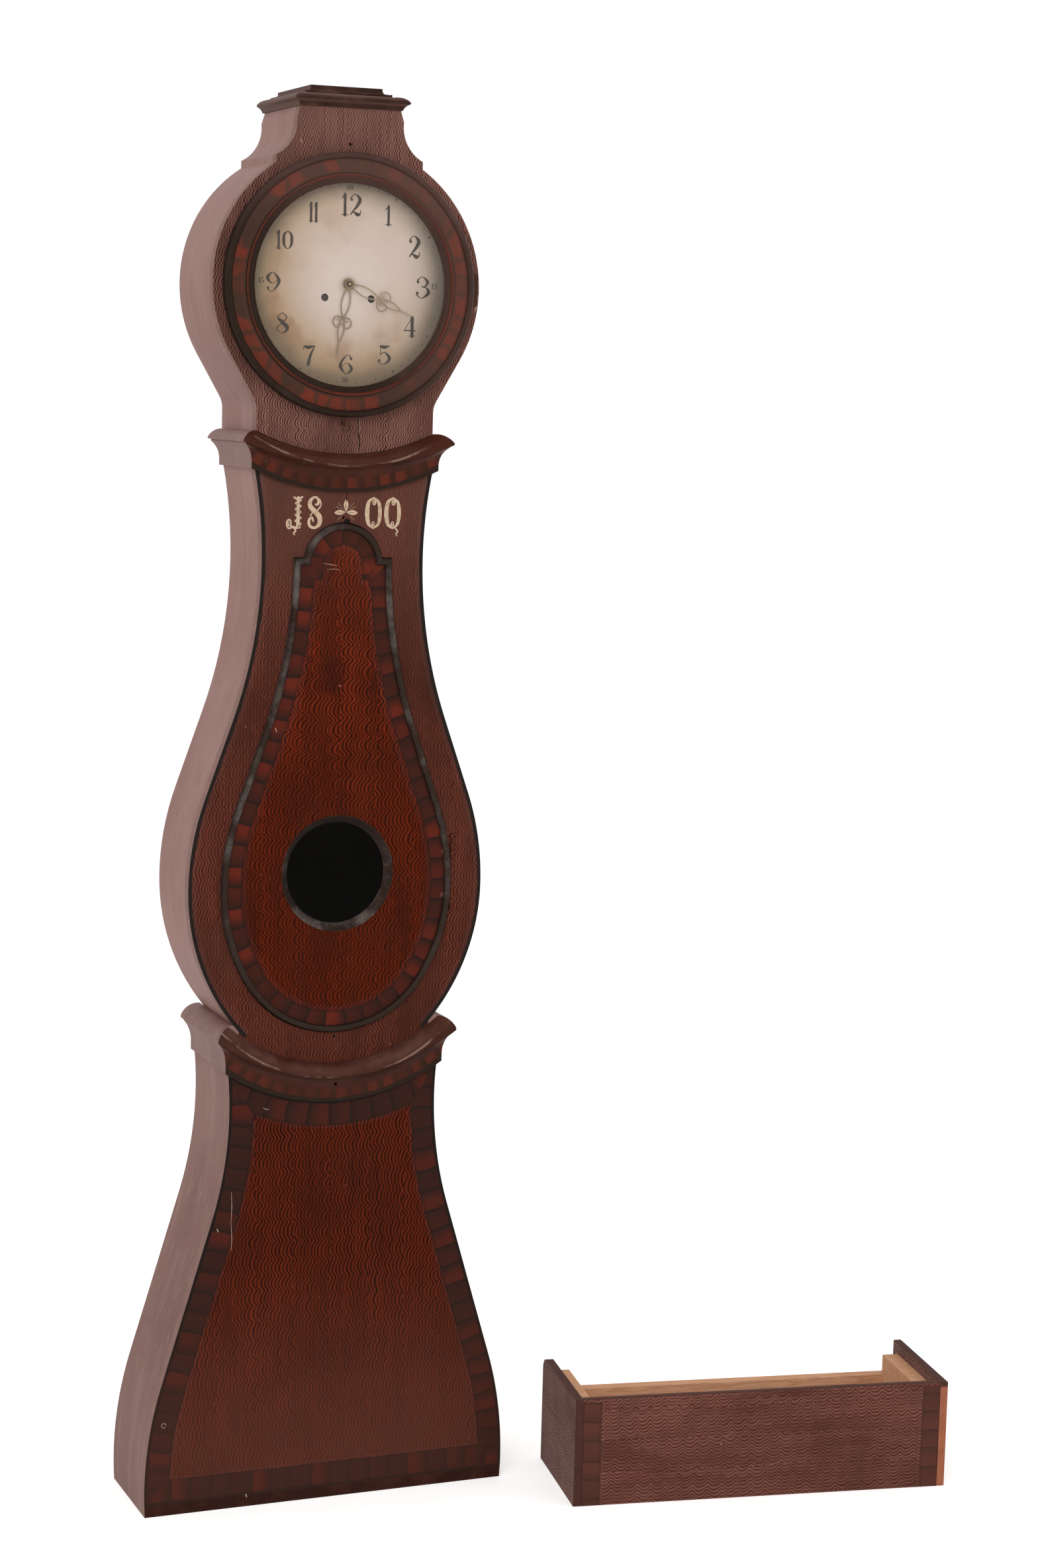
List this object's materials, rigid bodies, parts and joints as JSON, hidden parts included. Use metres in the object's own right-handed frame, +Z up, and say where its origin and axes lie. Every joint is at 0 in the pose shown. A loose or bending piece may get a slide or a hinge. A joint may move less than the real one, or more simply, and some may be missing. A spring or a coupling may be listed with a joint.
{
  "type": "mora clock",
  "caption": "Tall waisted pendulum clock: flared base, lyre-shaped trunk with glazed pendulum door, round glazed dial hood with stepped cap, striking movement, loose plinth beside it",
  "frame": {"origin": "centre of the base's underside, on the floor", "axes": "+X to the clock's left side as seen from behind (right in a front view), -Y out of the dial, +Z up"},
  "size_m": [1.2361, 0.4277, 2.081],
  "materials": {
    "red_paint": "oil paint on pine, dark red-brown, combed",
    "pink_paint": "oil paint on pine, dusty pink-brown",
    "black_paint": "oil paint on pine, black",
    "bare_pine": "bare aged pine",
    "dark_iron": "forged, dark, dull",
    "iron": "cast, dull",
    "cream_enamel": "painted sheet iron, satin, aged",
    "brass": "dull, lightly tarnished",
    "gilt_brass": "pierced, polished",
    "bell_metal": "turned",
    "steel": "filed bright",
    "clear_glass": "clear, thin, old",
    "line_cord": "gut line"
  },
  "bodies": {
    "case": {"base_front_board": "red_paint", "base_sides": "pink_paint", "base_bottom_board": "bare_pine", "lower_moulding_front": "red_paint", "lower_moulding_returns": "pink_paint", "trunk_front_board": "red_paint", "trunk_sides": "pink_paint", "upper_moulding_front": "red_paint", "upper_moulding_returns": "pink_paint", "backboard": "bare_pine", "seat_cheeks": "bare_pine", "seat_board": "bare_pine", "door_hinge_plate": "dark_iron", "dial_plate": "cream_enamel", "front_plate": "brass", "back_plate": "brass", "bell": "bell_metal", "weight_lines": "line_cord"},
    "trunk_door": {"trunk_door": "red_paint", "trunk_door_bead": "black_paint", "window_ring": "black_paint", "window_glass": "clear_glass", "door_hinge_leaf": "dark_iron"},
    "hood": {"hood_front_board": "red_paint", "hood_sides": "pink_paint", "hood_shoulders": "pink_paint", "cap_moulding": "red_paint", "cap_steps": "red_paint", "bezel_hinge_plate": "dark_iron"},
    "bezel": {"bezel_ring": "red_paint", "bezel_glass": "clear_glass", "bezel_hinge_leaf": "dark_iron"},
    "bezel_catch": {"bezel_catch": "dark_iron"},
    "minute_work": {"minute_hand": "gilt_brass", "centre_wheel": "brass"},
    "hour_work": {"hour_hand": "gilt_brass", "hour_wheel": "brass"},
    "minute_wheel": {"minute_wheel": "brass"},
    "third_wheel": {"third_wheel": "brass"},
    "escape_wheel": {"escape_wheel": "brass"},
    "anchor": {"anchor": "steel"},
    "pendulum": {"pendulum_rod": "steel", "pendulum_bob": "brass", "rating_nut": "steel"},
    "going_barrel": {"going_barrel": "brass"},
    "going_great_wheel": {"going_great_wheel": "brass"},
    "going_weight": {"going_weight": "iron"},
    "going_pulley": {"going_pulley": "brass"},
    "strike_barrel": {"strike_barrel": "brass"},
    "strike_great_wheel": {"strike_great_wheel": "brass"},
    "strike_weight": {"strike_weight": "iron"},
    "strike_pulley": {"strike_pulley": "brass"},
    "pin_wheel": {"pin_wheel": "brass"},
    "warning_wheel": {"warning_wheel": "brass"},
    "fly": {"fly": "brass"},
    "hammer": {"hammer": "steel"},
    "plinth": {"plinth_front": "red_paint", "plinth_sides": "pink_paint", "plinth_linings": "bare_pine"}
  },
  "joints": [
    {"name": "hood_slide", "type": "slide", "parent": "case", "child": "hood", "axis": [0, -1, 0], "range_m": [0, 0.2]},
    {"name": "bezel_hinge", "type": "hinge", "parent": "hood", "child": "bezel", "pos_m": [0.1905, -0.089, 1.801], "axis": [0, 0, 1], "range_deg": [0, 105]},
    {"name": "catch_turn", "type": "hinge", "parent": "hood", "child": "bezel_catch", "pos_m": [-0.005, -0.0975, 1.605], "axis": [0, 1, 0], "range_deg": [0, 155]},
    {"name": "trunk_door_hinge", "type": "hinge", "parent": "case", "child": "trunk_door", "pos_m": [0.179, -0.0875, 0.946], "axis": [0, 0, 1], "range_deg": [0, 105]},
    {"name": "minute_turn", "type": "hinge", "parent": "case", "child": "minute_work", "pos_m": [0, -0.0315, 1.803], "axis": [0, 1, 0], "continuous": true},
    {"name": "hour_turn", "type": "hinge", "parent": "case", "child": "hour_work", "pos_m": [0, -0.0825, 1.803], "axis": [0, 1, 0], "continuous": true},
    {"name": "minute_wheel_turn", "type": "hinge", "parent": "case", "child": "minute_wheel", "pos_m": [0, -0.0745, 1.782], "axis": [0, 1, 0], "continuous": true},
    {"name": "third_turn", "type": "hinge", "parent": "case", "child": "third_wheel", "pos_m": [0.01549, -0.0315, 1.82512], "axis": [0, 1, 0], "continuous": true},
    {"name": "escape_turn", "type": "hinge", "parent": "case", "child": "escape_wheel", "pos_m": [0, -0.0315, 1.84538], "axis": [0, 1, 0], "continuous": true},
    {"name": "going_great_turn", "type": "hinge", "parent": "case", "child": "going_great_wheel", "pos_m": [0.035, -0.0315, 1.783], "axis": [0, 1, 0], "continuous": true},
    {"name": "pin_turn", "type": "hinge", "parent": "case", "child": "pin_wheel", "pos_m": [-0.028, -0.0315, 1.8227], "axis": [0, 1, 0], "continuous": true},
    {"name": "strike_great_turn", "type": "hinge", "parent": "case", "child": "strike_great_wheel", "pos_m": [-0.035, -0.0315, 1.783], "axis": [0, 1, 0], "continuous": true},
    {"name": "warning_turn", "type": "hinge", "parent": "case", "child": "warning_wheel", "pos_m": [-0.03269, -0.0315, 1.84929], "axis": [0, 1, 0], "continuous": true},
    {"name": "fly_turn", "type": "hinge", "parent": "case", "child": "fly", "pos_m": [-0.02609, -0.0315, 1.87392], "axis": [0, 1, 0], "continuous": true},
    {"name": "pendulum_swing", "type": "hinge", "parent": "case", "child": "pendulum", "pos_m": [0, 0.0175, 1.87738], "axis": [0, 1, 0], "range_deg": [-3.5, 3.5]},
    {"name": "anchor_rock", "type": "hinge", "parent": "case", "child": "anchor", "pos_m": [0, -0.0315, 1.87738], "axis": [0, 1, 0], "range_deg": [-3.5, 3.5]},
    {"name": "going_drop", "type": "slide", "parent": "case", "child": "going_weight", "axis": [0, 0, -1], "range_m": [0, 1.2]},
    {"name": "going_barrel_turn", "type": "hinge", "parent": "case", "child": "going_barrel", "pos_m": [0.035, -0.0315, 1.783], "axis": [0, 1, 0], "range_deg": [0, 6600]},
    {"name": "going_pulley_turn", "type": "hinge", "parent": "going_weight", "child": "going_pulley", "pos_m": [0.035, -0.0345, 1.606], "axis": [0, 1, 0], "range_deg": [0, 3300]},
    {"name": "strike_drop", "type": "slide", "parent": "case", "child": "strike_weight", "axis": [0, 0, -1], "range_m": [0, 1.2]},
    {"name": "strike_barrel_turn", "type": "hinge", "parent": "case", "child": "strike_barrel", "pos_m": [-0.035, -0.0315, 1.783], "axis": [0, 1, 0], "range_deg": [-6600, 0]},
    {"name": "strike_pulley_turn", "type": "hinge", "parent": "strike_weight", "child": "strike_pulley", "pos_m": [-0.035, -0.0345, 1.606], "axis": [0, 1, 0], "range_deg": [-3300, 0]},
    {"name": "hammer_lift", "type": "hinge", "parent": "case", "child": "hammer", "pos_m": [-0.06, -0.0315, 1.872], "axis": [0, -1, 0], "range_deg": [0, 12], "stiffness_Nm_per_rad": 0.05},
    {"name": "plinth_lift", "type": "slide", "parent": "case", "child": "plinth", "axis": [0, 0, 1], "range_m": [0, 0.3]}
  ],
  "couplings": [
    {"joint": "hour_turn", "follows": "minute_turn", "ratio": 0.083333},
    {"joint": "minute_wheel_turn", "follows": "minute_turn", "ratio": -0.33333},
    {"joint": "third_turn", "follows": "minute_turn", "ratio": -8},
    {"joint": "escape_turn", "follows": "minute_turn", "ratio": 60},
    {"joint": "going_great_turn", "follows": "minute_turn", "ratio": -0.083333},
    {"joint": "strike_great_turn", "follows": "pin_turn", "ratio": -0.083333},
    {"joint": "warning_turn", "follows": "pin_turn", "ratio": -8},
    {"joint": "fly_turn", "follows": "pin_turn", "ratio": 60},
    {"joint": "anchor_rock", "follows": "pendulum_swing", "ratio": 1},
    {"joint": "going_barrel_turn", "follows": "going_drop", "rad_per_m": 94.787},
    {"joint": "going_pulley_turn", "follows": "going_drop", "rad_per_m": 47.393},
    {"joint": "strike_barrel_turn", "follows": "strike_drop", "rad_per_m": -94.787},
    {"joint": "strike_pulley_turn", "follows": "strike_drop", "rad_per_m": -47.393}
  ]
}
